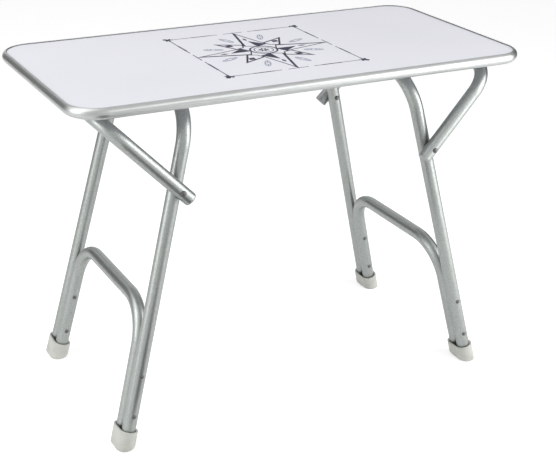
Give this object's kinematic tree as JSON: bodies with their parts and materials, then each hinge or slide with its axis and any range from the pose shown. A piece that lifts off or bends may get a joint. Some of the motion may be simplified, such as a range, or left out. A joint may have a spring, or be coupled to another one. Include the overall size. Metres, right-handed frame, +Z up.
{
  "type": "boat table",
  "caption": "Folding table for a boat: white board with a printed compass rose in an aluminium rim, on splayed leg frames of bent tube with stretchers and folding braces.",
  "frame": {"origin": "on the floor, under the middle of the board", "axes": "+X to the right end of the board, +Y to its rear long side, +Z up"},
  "size_m": [0.88, 0.44, 0.638],
  "materials": {
    "white_laminate": "white melamine laminate over board, softly glossy",
    "aluminium_rim": "satin anodised extrusion",
    "blue_ink": "printed ink under the laminate's clear face",
    "pale_ink": "faint printed ink",
    "aluminium_tube": "satin anodised tube",
    "aluminium_strap": "pressed strip",
    "grey_moulding": "moulded nylon",
    "grey_plug": "moulded end plug",
    "ivory_foot": "soft ivory-grey moulding",
    "zinc_screw": "zinc-plated",
    "rivet": "domed rivet"
  },
  "bodies": {
    "top": {"board": "white_laminate", "edge_rim": "aluminium_rim", "compass_print": "blue_ink", "faint_print": "pale_ink", "left_front_saddle": "grey_moulding", "left_rear_saddle": "grey_moulding", "right_front_saddle": "grey_moulding", "right_rear_saddle": "grey_moulding", "left_front_strap": "aluminium_strap", "left_rear_strap": "aluminium_strap", "right_front_strap": "aluminium_strap", "right_rear_strap": "aluminium_strap", "saddle_screws": "zinc_screw", "left_front_hook": "grey_moulding", "left_rear_hook": "grey_moulding", "right_front_hook": "grey_moulding", "right_rear_hook": "grey_moulding", "hook_screws": "zinc_screw"},
    "left_brace": {"left_brace_tube": "aluminium_tube", "left_front_brace_plug": "grey_plug", "left_rear_brace_plug": "grey_plug"},
    "left_legs": {"left_leg_tube": "aluminium_tube", "left_stretcher_tube": "aluminium_tube", "left_front_foot": "ivory_foot", "left_rear_foot": "ivory_foot", "left_pivot_rivets": "rivet", "left_stretcher_rivets": "rivet"},
    "right_brace": {"right_brace_tube": "aluminium_tube", "right_front_brace_plug": "grey_plug", "right_rear_brace_plug": "grey_plug"},
    "right_legs": {"right_leg_tube": "aluminium_tube", "right_stretcher_tube": "aluminium_tube", "right_front_foot": "ivory_foot", "right_rear_foot": "ivory_foot", "right_pivot_rivets": "rivet", "right_stretcher_rivets": "rivet"}
  },
  "joints": [
    {"name": "left_leg_fold", "type": "hinge", "parent": "left_brace", "child": "left_legs", "pos_m": [-0.25212, 0, 0.46826], "axis": [0, -1, 0], "range_deg": [0, 58.5]},
    {"name": "left_brace_swing", "type": "hinge", "parent": "top", "child": "left_brace", "pos_m": [-0.384, 0, 0.6021], "axis": [0, 1, 0], "range_deg": [0, 17.5]},
    {"name": "right_leg_fold", "type": "hinge", "parent": "right_brace", "child": "right_legs", "pos_m": [0.25212, 0, 0.46826], "axis": [0, 1, 0], "range_deg": [0, 58.5]},
    {"name": "right_brace_swing", "type": "hinge", "parent": "top", "child": "right_brace", "pos_m": [0.384, 0, 0.6021], "axis": [0, -1, 0], "range_deg": [0, 17.5]}
  ],
  "couplings": [
    {"joint": "left_brace_swing", "follows": "left_leg_fold", "ratio": 0.299},
    {"joint": "right_brace_swing", "follows": "right_leg_fold", "ratio": 0.299}
  ]
}
